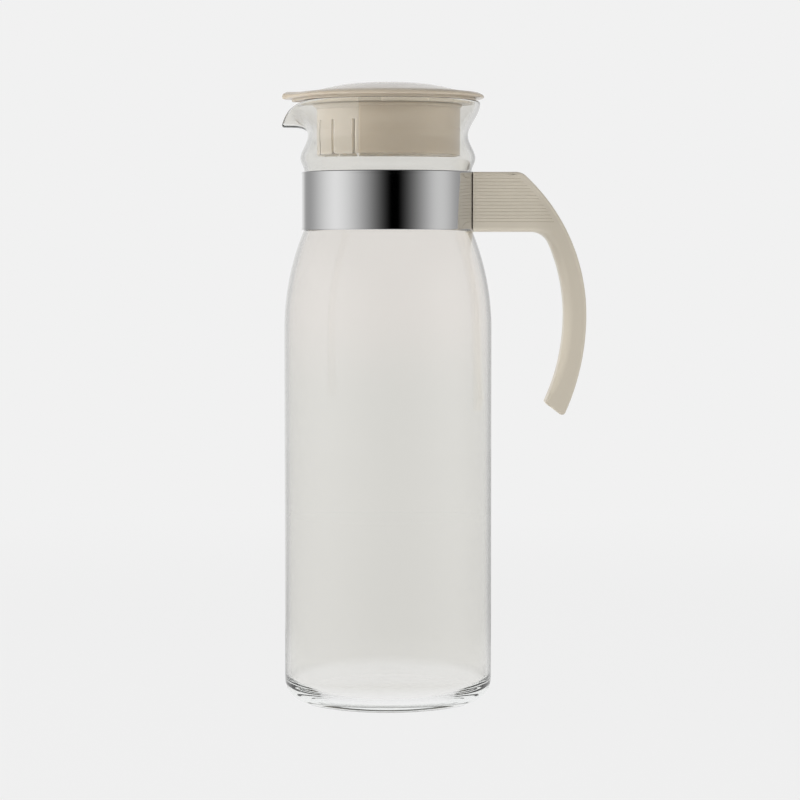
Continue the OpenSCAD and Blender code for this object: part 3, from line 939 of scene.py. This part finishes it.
def make_cover():
    """The cover, its brim drawn out and a little up into the tab, under which the brim's step fades."""
    piece = turn_round("lid_cap", cover_profile(), columns)
    mesh = bmesh.from_edit_mesh(piece.data)
    edge_r = brim_shoulder_r - 2 * brim_crisp
    for v in mesh.verts:
        r = v.co.xy.length
        if r > tab_hold_r:
            pull = lid_edge(math.atan2(-v.co.y, -v.co.x)) - brim_r
            share = min(1, (r - tab_hold_r) / (edge_r - tab_hold_r))
            v.co.xy *= (r + pull * share) / r
            tab_share = pull / (tab_reach - brim_r)
            if r > brim_step_r and v.co.z < brim_edge_z:
                v.co.z -= (brim_under_z - brim_z) * tab_share
            v.co.z += tab_lift * tab_share * share
    bmesh.update_edit_mesh(piece.data)
    tidy_mesh()
    smooth(piece, 14)
    return piece


# Plug: a turned wall with the comb and its slots towards the pouring lip
plug_columns = 360
slot_h = 16.5 * MM
slot_half_deg = 1.5
slot_pitch_deg = 21
slot_count = 7
comb_half_deg = 67.2
comb_setback = 0.6 * MM
comb_step = 0.6 * MM
plug_lip = 0.9 * MM
plug_round = 0.3 * MM
bead_d = 0.9 * MM
bead_low = ring_low.z - 1.9 * MM
bead_h = 1.87 * MM
bead_bevel = 0.1 * MM


def make_plug():
    """The plug, with the comb's wall set a little inwards and slots cut up from its foot."""
    slot_top = plug_z + slot_h
    lip_end = plug_z + plug_lip
    comb_top = bead_low - comb_step
    bead_top = bead_low + bead_h
    profile = arc((plug_r - plug_lip, lip_end), plug_lip, -90, 0, 3)[:-1]
    profile += [(plug_r, z) for z in even(lip_end, slot_top, 8) + even(slot_top, comb_top, 3)[1:]]
    profile += [(plug_r, bead_low + bead_bevel), (plug_r + bead_d, bead_low + bead_h / 2),
                (plug_r + bead_d, bead_top - bead_bevel), (plug_r, bead_top),
                (plug_r, (bead_top + plug_top) / 2), (plug_r, plug_top)]
    piece = turn_round("lid_strainer", profile, plug_columns)
    mesh = bmesh.from_edit_mesh(piece.data)
    for face in mesh.faces:
        middle = face.calc_center_median()
        phi = math.degrees(math.atan2(-middle.y, -middle.x))
        nearest = max(-(slot_count // 2), min(slot_count // 2, round(phi / slot_pitch_deg)))
        face.select = middle.z < slot_top and abs(phi - nearest * slot_pitch_deg) < slot_half_deg
    for v in mesh.verts:
        phi = math.degrees(math.atan2(-v.co.y, -v.co.x))
        if v.co.z < comb_top + comb_step / 2 and abs(phi) < comb_half_deg:
            v.co.xy *= 1 - comb_setback / plug_r
    bmesh.update_edit_mesh(piece.data)
    bpy.ops.mesh.delete(type="FACE")
    fresh()
    modify(piece, "SOLIDIFY", thickness=plug_wall, offset=-1, use_even_offset=True)
    round_edges(piece, plug_round, segments=2, degrees=70)
    smooth(piece)
    return piece


# Soft ring: a flat band that centres the lid in the mouth, with rounded rims and two shallow grooves on
# each side
ring_gap = 0.3 * MM
ring_groove = 0.86


def make_ring():
    middle_z = (ring_low.z + ring_high.z) / 2
    half_h = (ring_high.z - ring_low.z) / 2
    back = plug_r + ring_gap + half_h
    front = ring_high.y - half_h
    heights = [half_h * share for share in (1, ring_groove, 1, ring_groove, 1)]
    section = arc((front, middle_z), half_h, -90, 90, 8)
    section += [(r, middle_z + h) for r, h in zip(even(front, back, 6)[1:-1], heights)]
    section += arc((back, middle_z), half_h, 90, 270, 8)
    section += [(r, middle_z - h) for r, h in zip(even(back, front, 6)[1:-1], heights)]
    piece = turn_round("lid_ring_seal", section + section[:1], columns)
    smooth(piece)
    return piece


# Plastics, steel and the soft ring. The arm is painted a little darker than the block as painted shade,
# the comb a little paler than the plug as painted light, and the inside of the plug paler still as
# painted light
BLOCK_TONE = linear(198, 190, 175)
# Painted shade: the arm is tinted darker than the block
ARM_PAINTED_SHADE = linear(187, 179, 164)
ARM_SHADE_WAY = ((1, 0, 0), 66 * MM, 78 * MM)
LID_TONE = linear(182, 171, 155)
PLUG_TONE = linear(179, 167, 149)
# Painted light: the comb is tinted paler than the plug
COMB_PAINTED_LIGHT = linear(192, 184, 171)
COMB_LIGHT_WAY = ((-1, 0, 0), 12.9 * MM, 13.5 * MM)
# Painted light: the inside of the plug is tinted paler still
INSIDE_PAINTED_LIGHT = linear(228, 221, 208)
INSIDE_R = (plug_r - 1.4 * MM, plug_r - MM)
RING_TONE = linear(200, 190, 173)
CLOUD_TONE = 0.965
CLOUD_SPAN = (0.3, 0.7)
GRAIN_H = 0.05 * MM
POLISH = 0.6
POLISH_FADE = MM
GLOW_DEPTH = 2.5 * MM
POLISHED_TONE = (0.66, 0.66, 0.66, 1)
PLATED_TONE = (0.55, 0.55, 0.56, 1)
STEEL_STRETCH = (1, 1, 6)


def plastic_material(name, colour, rough_low, rough_high,
                     beyond=None, glow=0, polish_from=None, painted_light_inside=False):
    """Satin plastic with faint darker clouds and a fine grain.

    Beyond holds a direction, the distances between which the tone changes, and the other tone, which is
    painted shade or painted light. The inside can be painted paler, as painted light.
    """
    made, shader = material(name)
    cloud = shader.noise(scale=30, detail=3)
    grain = shader.noise(scale=900)
    darker = tuple(c * CLOUD_TONE for c in colour[:3]) + (1,)
    base = shader.blend(shader.step(cloud, *CLOUD_SPAN), colour, darker)
    if beyond:
        (way, low, high), other = beyond
        along = shader.node(
            "VectorMath", {"operation": "DOT_PRODUCT"}, {0: shader.place(), 1: way}, "Value")
        base = shader.blend(shader.step(along, low, high), base, other)
    # Painted light: the inner face of the plug is made paler
    if painted_light_inside:
        level = shader.node("VectorMath", {"operation": "MULTIPLY"}, {0: shader.place(), 1: (1, 1, 0)})
        base = shader.blend(shader.step(shader.length(level), *INSIDE_R), INSIDE_PAINTED_LIGHT, base)
    rough = rough_low + (rough_high - rough_low) * shader.noise(scale=60)
    bump = shader.node("Bump", inputs={"Strength": 0.12, "Distance": GRAIN_H, "Height": grain})
    polish = 0
    if polish_from:
        z = shader.parts(shader.place())[2]
        polish = POLISH * shader.step(z, polish_from, polish_from + POLISH_FADE)
    skin = shader.node("BsdfPrincipled", inputs={
        "Base Color": base, "Roughness": rough, "IOR": 1.48, "Normal": bump,
        "Coat Weight": polish, "Coat Roughness": 0.15,
        "Subsurface Weight": glow, "Subsurface Radius": (1, 1, 1), "Subsurface Scale": GLOW_DEPTH})
    shader.node("OutputMaterial", inputs={"Surface": skin})
    return made


def steel_material(name, colour, rough_low, rough_high):
    """Steel with a faint haze that runs round the piece."""
    made, shader = material(name)
    haze = shader.noise(scale=40, detail=3, roughness=0.6, place=shader.stretched(STEEL_STRETCH))
    rough = rough_low + (rough_high - rough_low) * haze
    metal = shader.node("BsdfPrincipled", inputs={
        "Base Color": colour, "Metallic": 1, "Roughness": rough})
    shader.node("OutputMaterial", inputs={"Surface": metal})
    return made


def soft_clear_material(name, rough_low, rough_high):
    made, shader = material(name)
    rough = rough_low + (rough_high - rough_low) * shader.noise(scale=50)
    soft = shader.node("BsdfPrincipled", inputs={
        "Base Color": RING_TONE, "Roughness": rough, "IOR": 1.41, "Transmission Weight": 0.2,
        "Subsurface Weight": 0.6, "Subsurface Radius": (1, 1, 1), "Subsurface Scale": GLOW_DEPTH})
    shader.node("OutputMaterial", inputs={"Surface": soft})
    return made


def dress(node, made):
    """Gives a piece that is kept from the frame its material."""
    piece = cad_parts[node]
    piece.data.materials.clear()
    piece.data.materials.append(made)


# The arm's darker tone on the handle is painted shade
handle_plastic = plastic_material(
    "handle_plastic", BLOCK_TONE, rough_low=0.34, rough_high=0.44, beyond=(ARM_SHADE_WAY, ARM_PAINTED_SHADE))
lid_plastic = plastic_material(
    "lid_plastic", LID_TONE, rough_low=0.15, rough_high=0.22, glow=0.7, polish_from=brim_shoulder_z + MM)
# The comb's and the inside's paler tones on the plug are painted light
strainer_plastic = plastic_material(
    "strainer_plastic", PLUG_TONE, rough_low=0.3, rough_high=0.4, beyond=(COMB_LIGHT_WAY, COMB_PAINTED_LIGHT), glow=0.7,
    painted_light_inside=True)
polished = steel_material("polished_steel", POLISHED_TONE, rough_low=0.03, rough_high=0.07)
plated = steel_material("screw_steel", PLATED_TONE, rough_low=0.2, rough_high=0.35)
soft = soft_clear_material("soft_clear", rough_low=0.2, rough_high=0.35)

finish_piece(make_glass(), glass_material(), "jug", "glass_jug")
finish_piece(make_handle(), handle_plastic, "jug", "handle")
finish_piece(make_strap(), polished, "jug", "neck_band")
finish_piece(make_cover(), lid_plastic, "lid", "lid_cover")
finish_piece(make_plug(), strainer_plastic, "lid", "lid_plug")
finish_piece(make_ring(), soft, "lid_ring", "lid_gasket")
dress("band_cushion", soft)
dress("band_screw", plated)
dress("band_nut", plated)
